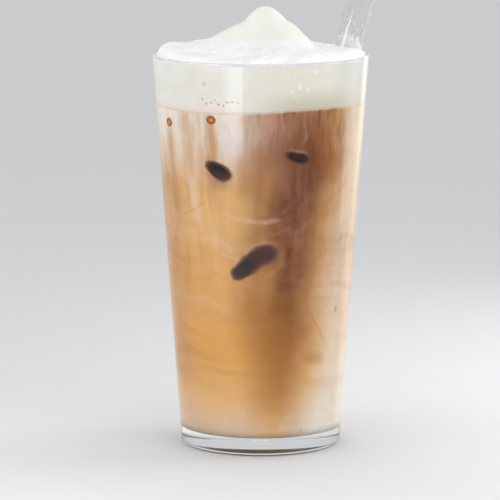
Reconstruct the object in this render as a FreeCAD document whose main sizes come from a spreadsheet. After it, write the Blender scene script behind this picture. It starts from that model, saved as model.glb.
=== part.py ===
import FreeCAD, Part
import math
import os

import Sketcher
from FreeCAD import Placement, Rotation, Vector

# Iced cappuccino: milky coffee under a layer of white milk foam in a tall tapered glass,
# with a clear glass straw that leans on the rim.
#
# Millimetres, +Z up. The origin is on the table, in the middle of the glass's foot.
# The front, where the foam dips to the rim, is -Y, and the straw leans to +X.

SIZES = [
    # The glass: a straight taper, a thick bottom and a foot ring round a shallow hollow.
    ("glass_height", 140.0),
    ("rim_radius", 38.5),
    ("base_radius", 28.35),
    ("wall_thickness", 1.5),
    ("floor_thickness", 6.5),
    ("lip_rounding", 0.65),
    ("heel_rounding", 1.8),
    ("floor_rounding", 3.5),
    ("foot_ring_width", 5.5),
    ("foot_hollow_depth", 1.0),
    # The drink: how deep the foam reaches below the rim, and how it stands above it.
    ("foam_depth", 17.7),
    ("foam_wall_drop", 1.0),
    ("foam_shoulder_width", 5.0),
    ("foam_shoulder_height", 4.6),
    ("foam_rise", 1.7),
    ("foam_hump_height", 1.5),
    # The straw: a plain tube with rounded ends, and the point of the floor that it stands on.
    ("straw_diameter", 9.5),
    ("straw_wall", 1.1),
    ("straw_length", 200.0),
    ("straw_end_rounding", 0.4),
    ("straw_clearance", 0.3),
    ("straw_foot_across", -5.2),
    ("straw_foot_back", -1.6),
    ("straw_lean_heading", 14.7),
    ("straw_foam_rise", 5.8),
]

# The spooned foam in the middle: a broad mound that runs out further to the left, and a cap.
# Each is a dome: its middle across and back, its reach left, right, to the front and to the
# back, its height, how steep its side is and how softly its foot runs out.
MOUND = {"middle": (2.5, 2.0), "reach": (24.0, 17.5, 15.5, 16.0), "height": 10.4, "side": 1.1, "foot": 0.12}
CAP = {"middle": (1.5, 1.5), "reach": (7.6, 7.6, 7.2, 7.2), "height": 4.3, "side": 1.0, "foot": 0.15}

# Broad swells of the foam between mound and rim: middle across, middle back, reach and height.
FOAM_SWELLS = [
    (-30.0, 0.0, 19.0, 1.9),
    (-17.0, 20.0, 13.0, 1.0),
    (10.5, 0.5, 5.5, 1.2),
    (12.0, -26.0, 18.0, 0.8),
    (-10.0, -27.0, 15.0, -0.5),
    (24.0, 22.0, 16.0, -0.6),
    (19.0, -14.0, 9.0, 0.5),
]

# The foam's underside lifts in one broad hump against the wall, front right.
HUMP_HEADING = 35.0
HUMP_REACH = 38.0

# The free surfaces are splines through points this far apart.
GRID_STEP = 2.4

# The foam's shoulder at the wall is a quarter oval, drawn as two sides that meet half way round.
HALF_WAY = math.sqrt(0.5)

doc = FreeCAD.newDocument("Cappuccino")


# ---- sheet ---------------------------------------------------------------------------------

def make_sheet():
    """The driving dimensions, one named cell each."""
    cells = doc.addObject("Spreadsheet::Sheet", "Sizes")
    for row, (alias, value) in enumerate(SIZES, start=1):
        cells.set("A%d" % row, alias.replace("_", " "))
        cells.set("B%d" % row, str(value))
        cells.setAlias("B%d" % row, alias)
    doc.recompute()
    return cells


sheet = make_sheet()


def size(alias):
    return float(getattr(sheet, alias))


# The glass's outer side runs straight from the base radius to the rim radius.
OUTER_RADIUS = "(Sizes.base_radius + (Sizes.rim_radius - Sizes.base_radius) * (%s) / Sizes.glass_height)"


def outer_radius_at(height):
    rise = (size("rim_radius") - size("base_radius")) * height / size("glass_height")
    return size("base_radius") + rise


def inner_radius_at(height):
    return outer_radius_at(height) - size("wall_thickness")


# ---- sketches ------------------------------------------------------------------------------

def origin_plane(body, role):
    return next(item for item in body.Origin.OriginFeatures if item.Role == role)


def new_sketch(body, name, role):
    sketch = body.newObject("Sketcher::SketchObject", name)
    sketch.AttachmentSupport = [(origin_plane(body, role), "")]
    sketch.MapMode = "FlatFace"
    return sketch


def bind_corner(sketch, line, end, across, up):
    """Hold one end of a line at a place written in terms of the sheet's cells."""
    for kind, expression in (("DistanceX", across), ("DistanceY", up)):
        index = sketch.addConstraint(Sketcher.Constraint(kind, -1, 1, line, end, 1.0))
        sketch.setExpression("Constraints[%d]" % index, expression)


def closed_outline(sketch, corners):
    """A closed run of straight lines through corners, each a pair of sheet expressions."""
    sides = len(corners)
    for side in range(sides):
        turn = 2.0 * math.pi * side / sides
        next_turn = 2.0 * math.pi * (side + 1) / sides
        start = Vector(50.0 + 20.0 * math.cos(turn), 50.0 + 20.0 * math.sin(turn), 0.0)
        end = Vector(50.0 + 20.0 * math.cos(next_turn), 50.0 + 20.0 * math.sin(next_turn), 0.0)
        sketch.addGeometry(Part.LineSegment(start, end), False)
    for side in range(sides):
        sketch.addConstraint(Sketcher.Constraint("Coincident", side, 2, (side + 1) % sides, 1))
    for side, (across, up) in enumerate(corners):
        bind_corner(sketch, side, 1, across, up)


def revolve(body, sketch, name):
    turned = body.newObject("PartDesign::Revolution", name)
    turned.Profile = sketch
    turned.ReferenceAxis = (sketch, ["V_Axis"])
    turned.Angle = 360.0
    doc.recompute()
    return turned


def ring_edges(feature, radius, height):
    """Names of the round edges of a turned feature at one radius and height."""
    names = []
    for number, edge in enumerate(feature.Shape.Edges, start=1):
        curve = edge.Curve
        if not isinstance(curve, Part.Circle):
            continue
        if abs(curve.Radius - radius) < 0.01 and abs(curve.Center.z - height) < 0.01:
            names.append("Edge%d" % number)
    return names


def round_rings(body, feature, name, rings, radius_cell):
    """Round the edges that lie at each (radius, height) of rings."""
    fillet = body.newObject("PartDesign::Fillet", name)
    edges = [edge for ring in rings for edge in ring_edges(feature, *ring)]
    fillet.Base = (feature, edges)
    fillet.setExpression("Radius", "Sizes." + radius_cell)
    doc.recompute()
    return fillet


# ---- glass ---------------------------------------------------------------------------------

def make_glass():
    """The tumbler: a turned wall and floor, then its heel, inside corner and lip rounded."""
    body = doc.addObject("PartDesign::Body", "Glass")
    body.Label = "glass"
    sketch = new_sketch(body, "GlassSection", "XZ_Plane")
    inner_at_floor = OUTER_RADIUS % "Sizes.floor_thickness" + " - Sizes.wall_thickness"
    foot_inside = "Sizes.base_radius - Sizes.foot_ring_width"
    closed_outline(sketch, [
        ("0", "Sizes.foot_hollow_depth"),
        (foot_inside + " - Sizes.foot_hollow_depth", "Sizes.foot_hollow_depth"),
        (foot_inside, "0"),
        ("Sizes.base_radius", "0"),
        ("Sizes.rim_radius", "Sizes.glass_height"),
        ("Sizes.rim_radius - Sizes.wall_thickness", "Sizes.glass_height"),
        (inner_at_floor, "Sizes.floor_thickness"),
        ("0", "Sizes.floor_thickness"),
    ])
    turned = revolve(body, sketch, "GlassTurned")
    heel = [(size("base_radius"), 0.0)]
    heeled = round_rings(body, turned, "HeelRounding", heel, "heel_rounding")
    corner = [(inner_radius_at(size("floor_thickness")), size("floor_thickness"))]
    cornered = round_rings(body, heeled, "FloorRounding", corner, "floor_rounding")
    top = size("glass_height")
    lip = [(outer_radius_at(top), top), (inner_radius_at(top), top)]
    round_rings(body, cornered, "LipRounding", lip, "lip_rounding")
    return body


# ---- straw ---------------------------------------------------------------------------------

def straw_lean():
    """The straw's lowest point on its axis and the way it points, from where it stands and leans.

    It stands one clearance above the floor and leans one clearance inside the rim. Its middle
    crosses the rim's plane on the heading that straw_lean_heading gives, in degrees from +X.
    """
    radius = size("straw_diameter") / 2.0
    clearance = size("straw_clearance")
    heading = math.radians(size("straw_lean_heading"))
    tilt = 0.0
    for _ in range(8):
        foot = Vector(size("straw_foot_across"), size("straw_foot_back"), 0.0)
        foot.z = size("floor_thickness") + clearance + radius * math.sin(tilt)
        reach = inner_radius_at(size("glass_height")) - clearance - radius / math.cos(tilt)
        lean = Vector(reach * math.cos(heading), reach * math.sin(heading), size("glass_height"))
        way = (lean - foot).normalize()
        tilt = math.acos(way.z)
    return foot, way


def straw_placement():
    foot, way = straw_lean()
    return Placement(foot, Rotation(Vector(0.0, 0.0, 1.0), way))


def make_straw():
    """A clear tube, its ends rounded, standing on the floor and leaning on the rim."""
    body = doc.addObject("PartDesign::Body", "Straw")
    body.Label = "straw"
    sketch = new_sketch(body, "StrawRing", "XY_Plane")
    bore = "Sizes.straw_diameter / 2 - Sizes.straw_wall"
    for number, radius in enumerate(("Sizes.straw_diameter / 2", bore)):
        sketch.addGeometry(Part.Circle(Vector(), Vector(0.0, 0.0, 1.0), 5.0 - 2.0 * number), False)
        sketch.addConstraint(Sketcher.Constraint("Coincident", number, 3, -1, 1))
        index = sketch.addConstraint(Sketcher.Constraint("Radius", number, 5.0 - 2.0 * number))
        sketch.setExpression("Constraints[%d]" % index, radius)
    tube = body.newObject("PartDesign::Pad", "StrawTube")
    tube.Profile = sketch
    tube.setExpression("Length", "Sizes.straw_length")
    doc.recompute()
    outer = size("straw_diameter") / 2.0
    inner = outer - size("straw_wall")
    ends = [(radius, height) for radius in (outer, inner) for height in (0.0, size("straw_length"))]
    round_rings(body, tube, "StrawEnds", ends, "straw_end_rounding")
    body.Placement = straw_placement()
    return body


def straw_cylinder(name, radius):
    """A solid rod along the straw, of the straw's own outside or bore."""
    rod = doc.addObject("Part::Cylinder", name)
    rod.setExpression("Radius", radius)
    rod.setExpression("Height", "Sizes.straw_length")
    rod.Placement = straw_placement()
    return rod


# ---- drink ---------------------------------------------------------------------------------

def make_mould(name, top_corners):
    """The room inside the glass, closed above by top_corners, with the floor's corner rounded."""
    body = doc.addObject("PartDesign::Body", name)
    sketch = new_sketch(body, name + "Section", "XZ_Plane")
    inner_at_floor = OUTER_RADIUS % "Sizes.floor_thickness" + " - Sizes.wall_thickness"
    floor = [("0", "Sizes.floor_thickness"), (inner_at_floor, "Sizes.floor_thickness")]
    closed_outline(sketch, floor + top_corners)
    turned = revolve(body, sketch, name + "Turned")
    corner = [(inner_radius_at(size("floor_thickness")), size("floor_thickness"))]
    round_rings(body, turned, name + "Corner", corner, "floor_rounding")
    return body


def dome(form, across, back):
    """Height of a dome over a point; past its reach only its soft foot is left."""
    left, right, front, rear = form["reach"]
    off_across = across - form["middle"][0]
    off_back = back - form["middle"][1]
    reach_across = right if off_across > 0.0 else left
    reach_back = rear if off_back > 0.0 else front
    fall = 1.0 - (off_across / reach_across) ** 2 - (off_back / reach_back) ** 2
    share = (fall + math.hypot(fall, form["foot"])) / 2.0
    return form["height"] * share ** form["side"]


def swell(distance, reach):
    """A soft bump: one in the middle, and level where it ends at its reach."""
    if distance >= reach:
        return 0.0
    return (1.0 - (distance / reach) ** 2) ** 2


def foam_top(across, back):
    """Height of the foam's free surface over a point of the glass's plan."""
    height = size("glass_height") + size("foam_rise")
    for middle_across, middle_back, reach, rise in FOAM_SWELLS:
        height += rise * swell(math.hypot(across - middle_across, back - middle_back), reach)
    return height + dome(MOUND, across, back) + dome(CAP, across, back)


def foam_underside(across, back):
    """Height of the line between coffee and foam, nearly level with one hump at the wall."""
    level = size("glass_height") - size("foam_depth")
    heading = math.radians(HUMP_HEADING)
    wall = inner_radius_at(level)
    off_hump = math.hypot(across - wall * math.sin(heading), back + wall * math.cos(heading))
    return level + size("foam_hump_height") * swell(off_hump, HUMP_REACH)


def block_under(name, height_over):
    """Everything under a free surface: a spline sheet over the glass's plan, drawn down."""
    half = size("rim_radius") + GRID_STEP
    steps = int(math.ceil(2.0 * half / GRID_STEP))
    places = [-half + 2.0 * half * step / steps for step in range(steps + 1)]
    points = [[Vector(x, y, height_over(x, y)) for y in places] for x in places]
    surface = Part.BSplineSurface()
    surface.interpolate(points)
    block = doc.addObject("Part::Feature", name)
    block.Shape = surface.toShape().extrude(Vector(0.0, 0.0, -size("glass_height")))
    return block


def joined(kind, name, base, tool):
    """One boolean of the document: Part::Cut or Part::Common of two objects."""
    result = doc.addObject(kind, name)
    result.Base = base
    result.Tool = tool
    return result


def make_drink(straw):
    """Coffee, foam, and the plug of foam in the straw, each cut to what it touches."""
    wall_top = "Sizes.glass_height - Sizes.foam_wall_drop"
    inner_at_drop = OUTER_RADIUS % wall_top + " - Sizes.wall_thickness"
    crown = wall_top + " + Sizes.foam_shoulder_height"
    high = "Sizes.glass_height * 1.5"
    shoulder = inner_at_drop + " - Sizes.foam_shoulder_width"
    half_in = " - Sizes.foam_shoulder_width * %.6f" % (1.0 - HALF_WAY)
    half_up = " + Sizes.foam_shoulder_height * %.6f" % HALF_WAY
    mould = make_mould("Mould", [
        (inner_at_drop, wall_top),
        (inner_at_drop + half_in, wall_top + half_up),
        (shoulder, crown),
        (shoulder, high),
        ("0", high),
    ])
    below_foam = block_under("CoffeeBlock", foam_underside)
    below_air = block_under("FoamBlock", foam_top)
    rod = straw_cylinder("StrawRod", "Sizes.straw_diameter / 2")
    core = straw_cylinder("StrawCore", "Sizes.straw_diameter / 2 - Sizes.straw_wall")

    coffee = joined("Part::Cut", "Coffee", joined("Part::Common", "CoffeeRoom", mould, below_foam), straw)
    coffee.Label = "coffee"

    room = joined("Part::Common", "DrinkRoom", mould, below_air)
    over_coffee = joined("Part::Cut", "FoamRoom", room, below_foam)
    foam = joined("Part::Cut", "MilkFoam", over_coffee, rod)
    foam.Label = "milk_foam"

    plug_top = doc.addObject("Part::Cylinder", "PlugRoom")
    plug_top.setExpression("Radius", "Sizes.rim_radius + Sizes.straw_diameter")
    plug_top.setExpression("Height", "Sizes.glass_height + Sizes.straw_foam_rise")
    plug = joined("Part::Cut", "FoamInStraw", joined("Part::Common", "PlugColumn", core, plug_top), below_foam)
    plug.Label = "foam_in_straw"
    return [coffee, foam, plug]


# ---- build ---------------------------------------------------------------------------------

def check_document():
    for item in doc.Objects:
        if "Invalid" in item.State or "Error" in item.State:
            raise RuntimeError("%s failed: %s" % (item.Label, item.State))


def export(parts):
    os.makedirs("parts", exist_ok=True)
    for part in parts:
        shape = part.Shape
        if shape.isNull() or not shape.isValid() or len(shape.Solids) != 1:
            raise RuntimeError("%s is not one valid solid" % part.Label)
        shape.exportStep("parts/%s.step" % part.Label)
        print("%-14s %10.1f mm3  %s" % (part.Label, shape.Volume, shape.BoundBox))


glass = make_glass()
straw = make_straw()
drink = make_drink(straw)
doc.recompute()
check_document()
export([glass] + drink + [straw])
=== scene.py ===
import math
import random

import bpy
from mathutils import Matrix, Vector, noise


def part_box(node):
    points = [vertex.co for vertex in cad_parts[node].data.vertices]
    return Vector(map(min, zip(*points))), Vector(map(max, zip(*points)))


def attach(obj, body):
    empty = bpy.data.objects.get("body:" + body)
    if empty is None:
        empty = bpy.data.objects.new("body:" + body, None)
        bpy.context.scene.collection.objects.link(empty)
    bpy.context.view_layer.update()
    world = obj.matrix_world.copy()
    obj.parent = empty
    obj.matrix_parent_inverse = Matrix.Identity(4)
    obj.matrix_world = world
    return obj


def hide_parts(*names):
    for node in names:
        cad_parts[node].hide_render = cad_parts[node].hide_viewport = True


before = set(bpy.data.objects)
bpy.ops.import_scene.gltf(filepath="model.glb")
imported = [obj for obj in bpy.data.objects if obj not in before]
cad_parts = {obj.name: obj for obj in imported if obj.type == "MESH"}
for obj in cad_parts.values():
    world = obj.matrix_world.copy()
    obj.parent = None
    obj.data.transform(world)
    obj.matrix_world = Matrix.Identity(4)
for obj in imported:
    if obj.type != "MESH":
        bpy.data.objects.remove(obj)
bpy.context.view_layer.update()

# Looks of the iced cappuccino: a clear tumbler and straw, marbled milky coffee with ice
# against the wall, and white milk foam with a spooned mound.
# Metres. The front, which the camera sees, is -Y. Headings are degrees round +Z from the
# front, and grow towards +X.

MM = 0.001

# ---- sizes, as in the solids ---------------------------------------------------------------

RIM_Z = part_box("glass")[1][2]
FLOOR_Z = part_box("coffee")[0][2]
COFFEE_TOP_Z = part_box("milk_foam")[0][2]
RIM_RADIUS = 38.5 * MM
BASE_RADIUS = 28.35 * MM
WALL = 1.5 * MM
LIP_ROUNDING = 0.65 * MM
HEEL_ROUNDING = 1.8 * MM
FLOOR_ROUNDING = 3.5 * MM
FOOT_RING_WIDTH = 5.5 * MM
FOOT_HOLLOW = 1.0 * MM
STRAW_RADIUS = 4.75 * MM
STRAW_WALL = 1.1 * MM
STRAW_LENGTH = 200.0 * MM
STRAW_ROUNDING = 0.4 * MM
STRAW_CLEARANCE = 0.3 * MM
STRAW_FOOT = Vector((-5.2 * MM, -1.6 * MM, 0.0))
STRAW_HEADING = 14.7
STRAW_FOAM_RISE = 5.8 * MM

# What fills the glass reaches this far into its wall, and what floats against the wall
# reaches a little further.
SEAT = 0.15 * MM
CONTACT = 0.12 * MM

# What shows on the drink's side is placed by heading and height. Across the side, a degree
# of heading is about this many millimetres.
ARC = 0.58


def outer_radius(z):
    return BASE_RADIUS + (RIM_RADIUS - BASE_RADIUS) * z / RIM_Z


def inner_radius(z):
    return outer_radius(z) - WALL


def on_wall(heading, z, proud=0.0):
    """A point on the drink's side, at a heading and height, or a little outside or inside it."""
    turn = math.radians(heading)
    radius = inner_radius(z) + SEAT + proud
    return Vector((radius * math.sin(turn), -radius * math.cos(turn), z))


def smooth(value, low, high):
    share = min(max((value - low) / (high - low), 0.0), 1.0)
    return share * share * (3.0 - 2.0 * share)


def straw_axis():
    """The straw's lower end and direction: it stands on the floor and leans on the rim."""
    turn = math.radians(STRAW_HEADING)
    tilt = 0.0
    for _ in range(8):
        foot = STRAW_FOOT.copy()
        foot.z = FLOOR_Z + STRAW_CLEARANCE + STRAW_RADIUS * math.sin(tilt)
        reach = inner_radius(RIM_Z) - STRAW_CLEARANCE - STRAW_RADIUS / math.cos(tilt)
        lean = Vector((reach * math.cos(turn), reach * math.sin(turn), RIM_Z))
        way = (lean - foot).normalized()
        tilt = math.acos(way.z)
    return foot, way


STRAW_LOW, STRAW_WAY = straw_axis()


# ---- mesh helpers --------------------------------------------------------------------------

def mesh_piece(name, points, faces, smooth=True):
    mesh = bpy.data.meshes.new(name)
    mesh.from_pydata(points, [], faces)
    mesh.validate()
    mesh.update()
    if smooth:
        mesh.polygons.foreach_set("use_smooth", [True] * len(mesh.polygons))
    piece = bpy.data.objects.new(name, mesh)
    bpy.context.scene.collection.objects.link(piece)
    return piece


def add_ring(points, rings, around, place):
    """One more ring of points, each placed by its turn round the axis."""
    rings.append(range(len(points), len(points) + around))
    points.extend([place(2.0 * math.pi * step / around) for step in range(around)])


def skin(rings, first_pole, last_pole, upwards=True):
    """Faces over rings and the poles that close them, for rings that run upwards or downwards."""
    faces = []
    around = len(rings[0])
    for step in range(around):
        after = (step + 1) % around
        faces.append((first_pole, rings[0][step], rings[0][after]))
        faces.append((last_pole, rings[-1][after], rings[-1][step]))
        for inner, outer in zip(rings, rings[1:]):
            faces.append((inner[step], outer[step], outer[after], inner[after]))
    return [face[:1] + face[:0:-1] for face in faces] if upwards else faces


def round_axis(radius, turn, z):
    return (radius * math.sin(turn), -radius * math.cos(turn), z)


def turned(name, outline, segments, closed=False):
    """Turn an outline of (radius, z) about the axis; a point on the axis becomes a pole."""
    points = []
    rings = []
    for radius, z in outline:
        if radius < 1e-9:
            rings.append([len(points)])
            points.append((0.0, 0.0, z))
            continue
        add_ring(points, rings, segments, lambda turn: round_axis(radius, turn, z))
    faces = []
    pairs = list(zip(rings, rings[1:]))
    if closed:
        pairs.append((rings[-1], rings[0]))
    for low, high in pairs:
        for step in range(segments):
            after = (step + 1) % segments
            if len(low) == 1:
                faces.append((low[0], high[after], high[step]))
            elif len(high) == 1:
                faces.append((low[step], low[after], high[0]))
            else:
                faces.append((low[step], low[after], high[after], high[step]))
    return mesh_piece(name, points, faces)


def rounded_corner(before, corner, after, radius, steps):
    """An arc that rounds the corner of an outline, tangent to both of its sides."""
    corner = Vector(corner)
    to_before = (Vector(before) - corner).normalized()
    to_after = (Vector(after) - corner).normalized()
    half = to_before.angle(to_after) / 2.0
    centre = corner + (to_before + to_after).normalized() * (radius / math.sin(half))
    first = corner + to_before * (radius / math.tan(half)) - centre
    last = corner + to_after * (radius / math.tan(half)) - centre
    start = math.atan2(first.y, first.x)
    sweep = (math.atan2(last.y, last.x) - start + math.pi) % (2.0 * math.pi) - math.pi
    turns = [start + sweep * step / steps for step in range(steps + 1)]
    return [(centre.x + radius * math.cos(turn), centre.y + radius * math.sin(turn)) for turn in turns]


# ---- shader helpers ------------------------------------------------------------------------

def linear(red, green, blue, alpha=1.0):
    """A colour given as it looks on a screen, 0 to 255, in the shader's linear values."""
    made = []
    for part in (red, green, blue):
        share = part / 255.0
        made.append(share / 12.92 if share <= 0.04045 else ((share + 0.055) / 1.055) ** 2.4)
    return (made[0], made[1], made[2], alpha)


class Shader:
    """The nodes of one material, lamp or world, with short calls that add them and join them."""

    def __init__(self, owner):
        self.owner = owner
        owner.use_nodes = True
        self.tree = owner.node_tree
        self.tree.nodes.clear()

    def node(self, kind, **settings):
        made = self.tree.nodes.new(kind)
        for setting, value in settings.items():
            setattr(made, setting, value)
        return made

    def feed(self, socket, value):
        if isinstance(value, bpy.types.NodeSocket):
            self.tree.links.new(value, socket)
        else:
            socket.default_value = value

    def calc(self, operation, first, second=0.0, third=0.0):
        made = self.node("ShaderNodeMath", operation=operation)
        for socket, number in zip(made.inputs, (first, second, third)):
            self.feed(socket, number)
        return made.outputs[0]

    def ease(self, value, low, high, at_low=0.0, at_high=1.0):
        """A soft step from one value to another as the input goes from low to high."""
        made = self.node("ShaderNodeMapRange", interpolation_type="SMOOTHSTEP")
        for socket, number in zip(made.inputs, (value, low, high, at_low, at_high)):
            self.feed(socket, number)
        return made.outputs[0]

    def times(self, *factors):
        product = factors[0]
        for factor in factors[1:]:
            product = self.calc("MULTIPLY", product, factor)
        return product

    def off(self, value, level):
        """How far a value lies from a level, either way."""
        return self.calc("ABSOLUTE", self.calc("SUBTRACT", value, level))

    def line(self, value, level, half_width):
        """One where a value crosses a level, fading to nothing a half width off it."""
        return self.ease(self.off(value, level), 0.0, half_width, 1.0, 0.0)

    def mix(self, share, first, second):
        made = self.node("ShaderNodeMix", data_type="RGBA")
        for index, value in ((0, share), (6, first), (7, second)):
            self.feed(made.inputs[index], value)
        return made.outputs[2]

    def paint(self, colour, tone, *shares):
        """A colour with a tone laid over it, by the product of some shares."""
        return self.mix(self.times(*shares), colour, linear(*tone))

    def noise(self, place, scale, detail=2.0, roughness=0.5):
        made = self.node("ShaderNodeTexNoise")
        for word, value in zip(("Vector", "Scale", "Detail", "Roughness"), (place, scale, detail, roughness)):
            self.feed(made.inputs[word], value)
        return made.outputs["Fac"]

    def stretch(self, place, up, across=1.0):
        made = self.node("ShaderNodeMapping")
        self.feed(made.inputs["Vector"], place)
        made.inputs["Scale"].default_value = (across, across, up)
        return made.outputs[0]

    def place(self):
        return self.node("ShaderNodeTexCoord").outputs["Object"]

    def parts(self, vector):
        made = self.node("ShaderNodeSeparateXYZ")
        self.feed(made.inputs[0], vector)
        return made.outputs

    def vector(self, operation, *places, output=0):
        made = self.node("ShaderNodeVectorMath", operation=operation)
        for socket, place in zip(made.inputs, places):
            self.feed(socket, place)
        return made.outputs[output]

    def joined(self, x, y, z):
        made = self.node("ShaderNodeCombineXYZ")
        for socket, value in zip(made.inputs, (x, y, z)):
            self.feed(socket, value)
        return made.outputs[0]

    def drifted(self, place, scale, reach, detail=2.0):
        """The place moved about by three noises, by up to half of the reach each way."""
        drift = self.node("ShaderNodeTexNoise")
        self.feed(drift.inputs["Vector"], place)
        self.feed(drift.inputs["Scale"], scale)
        self.feed(drift.inputs["Detail"], detail)
        split = self.node("ShaderNodeSeparateColor")
        self.feed(split.inputs[0], drift.outputs["Color"])
        moved = self.vector("MULTIPLY_ADD", self.joined(*split.outputs), (reach, reach, reach), place)
        return self.vector("SUBTRACT", moved, (reach / 2.0, reach / 2.0, reach / 2.0))

    def cells(self, place, scale):
        """Distance to the nearest point of a scatter, one cell wide at 1."""
        made = self.node("ShaderNodeTexVoronoi")
        self.feed(made.inputs["Vector"], place)
        self.feed(made.inputs["Scale"], scale)
        return made.outputs["Distance"]

    def ramp(self, value, stops, longest):
        """A colour that changes along a value, through (value, colour) stops."""
        made = self.node("ShaderNodeValToRGB")
        points = made.color_ramp.elements
        while len(points) < len(stops):
            points.new(1.0)
        for point, (position, colour) in zip(points, stops):
            point.position = position / longest
            point.color = linear(*colour)
        self.feed(made.inputs[0], self.calc("DIVIDE", value, longest))
        return made.outputs[0]

    def heading_and_height(self, place):
        """Degrees round from the front, and millimetres above the table."""
        x, y, z = self.parts(place)
        turn = self.calc("ARCTAN2", x, self.calc("MULTIPLY", y, -1.0))
        return self.calc("MULTIPLY", turn, math.degrees(1.0)), self.calc("DIVIDE", z, MM)

    def side_map(self, heading, height):
        """The drink's side laid flat: millimetres across and up, and a one that the ovals need."""
        return self.joined(self.calc("MULTIPLY", heading, ARC), height, 1.0)

    def off_oval(self, side_map, oval):
        """How far out from an oval's middle a place lies, 1 at its edge."""
        heading, height, half_long, half_short, tilt = oval
        squares = 0.0
        for turn, half in ((tilt, half_long), (tilt + 90.0, half_short)):
            across = math.cos(math.radians(turn)) / half
            up = math.sin(math.radians(turn)) / half
            line = (across, up, -across * heading * ARC - up * height)
            along = self.vector("DOT_PRODUCT", side_map, line, output="Value")
            squares = self.calc("MULTIPLY_ADD", along, along, squares)
        return self.calc("SQRT", squares)

    def spot(self, side_map, oval, soft=0.5):
        """One inside an oval, fading to nothing as far outside its edge as it does inside."""
        return self.ease(self.off_oval(side_map, oval), 1.0 - soft, 1.0 + soft, 1.0, 0.0)

    def ovals_together(self, side_map, ovals):
        """A soft field round a group of ovals that flow into each other."""
        total = 0.0
        for oval in ovals:
            out = self.calc("DIVIDE", self.off_oval(side_map, oval), OVAL_FIELD)
            near = self.calc("SUBTRACT", 1.0, self.calc("POWER", out, 2.0))
            total = self.calc("ADD", self.calc("POWER", self.calc("MAXIMUM", near, 0.0), 2.0), total)
        return total

    def bump(self, height, strength, distance):
        made = self.node("ShaderNodeBump")
        self.feed(made.inputs["Height"], height)
        made.inputs["Strength"].default_value = strength
        made.inputs["Distance"].default_value = distance
        return made.outputs[0]

    def surface(self, **inputs):
        """The principled shader, with its inputs named by words for their labels."""
        made = self.node("ShaderNodeBsdfPrincipled")
        for word, value in inputs.items():
            self.feed(made.inputs[word.replace("_", " ")], value)
        return made.outputs[0]

    def finish(self, shader, output="ShaderNodeOutputMaterial"):
        self.tree.links.new(shader, self.node(output).inputs["Surface"])
        return self.owner


def material_shader(name):
    return Shader(bpy.data.materials.new(name))


def ride(piece, material, slot, *replaced):
    piece.data.materials.append(material)
    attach(piece, "root")
    for node in replaced:
        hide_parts(node)
    return piece


# ---- materials -----------------------------------------------------------------------------

STRAIGHT_ON_AFTER = 3.5
CLEAR = (0.96, 0.97, 0.97, 1.0)
DIMMED = (0.44, 0.47, 0.48, 1.0)


def glass_material(name):
    """Clear glass that lets the lamps through to what it holds.

    Light that has turned in it several times goes straight on, dimmed, so that a wall seen
    along its length goes grey and not black.
    """
    shader = material_shader(name)
    clear = shader.surface(Base_Color=(1.0, 1.0, 1.0, 1.0), Roughness=0.0, IOR=1.5, Transmission_Weight=1.0)
    through = shader.node("ShaderNodeBsdfTransparent")
    choice = shader.node("ShaderNodeMixShader")
    path = shader.node("ShaderNodeLightPath").outputs
    turned_often = shader.calc("GREATER_THAN", path["Ray Depth"], STRAIGHT_ON_AFTER)
    shader.feed(choice.inputs[0], shader.calc("MAXIMUM", path["Is Shadow Ray"], turned_often))
    shader.feed(through.inputs["Color"], shader.mix(path["Is Shadow Ray"], DIMMED, CLEAR))
    shader.feed(choice.inputs[1], clear)
    shader.feed(choice.inputs[2], through.outputs[0])
    return shader.finish(choice.outputs[0])


# ---- what shows on the drink's side --------------------------------------------------------

# Ovals on the side: heading, height, half length, half width (mm) and tilt in degrees. Those of
# one ice cube flow into each other.
ICE = {
    "ice_left": [(-27.5, 103.0, 3.0, 2.0, -30.0), (-23.0, 101.5, 3.2, 2.4, -20.0)],
    "ice_right": [(19.0, 107.5, 2.6, 1.4, -20.0), (24.0, 106.5, 2.6, 1.7, -10.0)],
    "ice_middle": [(-13.0, 66.5, 3.0, 2.3, 25.0), (-7.0, 69.5, 3.6, 3.0, 45.0), (2.0, 73.0, 4.2, 3.0, 15.0)],
}
OVAL_FIELD = 1.7
FIELD_AT_EDGE = (1.0 - OVAL_FIELD ** -2.0) ** 2.0

BUBBLES = [(-62.0, 117.5, 2.2, 1.8, 0.0), (-28.5, 120.0, 2.0, 1.8, 0.0)]
SPECKS = [(57.0, 51.0, 0.9, 0.9, 0.0), (30.0, 9.0, 0.5, 0.4, 0.0)]

# The drink's colours, from milk to coffee.
MILK = (245, 238, 225)
CREAM = (240, 220, 195)
BEIGE = (230, 202, 175)
TAN = (235, 190, 130)
HONEY = (230, 172, 92)
CARAMEL = (205, 150, 85)
AMBER = (180, 115, 40)
COFFEE = (150, 90, 0)
DARK_COFFEE = (115, 52, 0)
MAUVE = (165, 115, 80)

# What the coffee looks like up the glass, in millimetres: at the left, in the dark part, at the
# dark part's right edge, and in the milky part at the right. The dark part is partly darker coffee
# and partly painted shade; the milky part is partly milk and partly painted light.
LEFT = [(8.0, BEIGE), (20.0, TAN), (36.0, HONEY), (62.0, HONEY), (80.0, TAN), (96.0, TAN), (106.0, CREAM),
        (116.0, MILK)]
DARK = [(8.0, TAN), (18.0, CARAMEL), (34.0, AMBER), (50.0, COFFEE), (66.0, DARK_COFFEE),
        (106.0, DARK_COFFEE), (122.0, MAUVE)]
EDGE = [(8.0, BEIGE), (26.0, TAN), (54.0, CARAMEL), (90.0, CARAMEL), (106.0, AMBER), (122.0, CARAMEL)]
RIGHT = [(8.0, MILK), (30.0, CREAM), (50.0, BEIGE), (72.0, CREAM), (100.0, CREAM)]
COLOURS_UP_TO = 130.0


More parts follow.
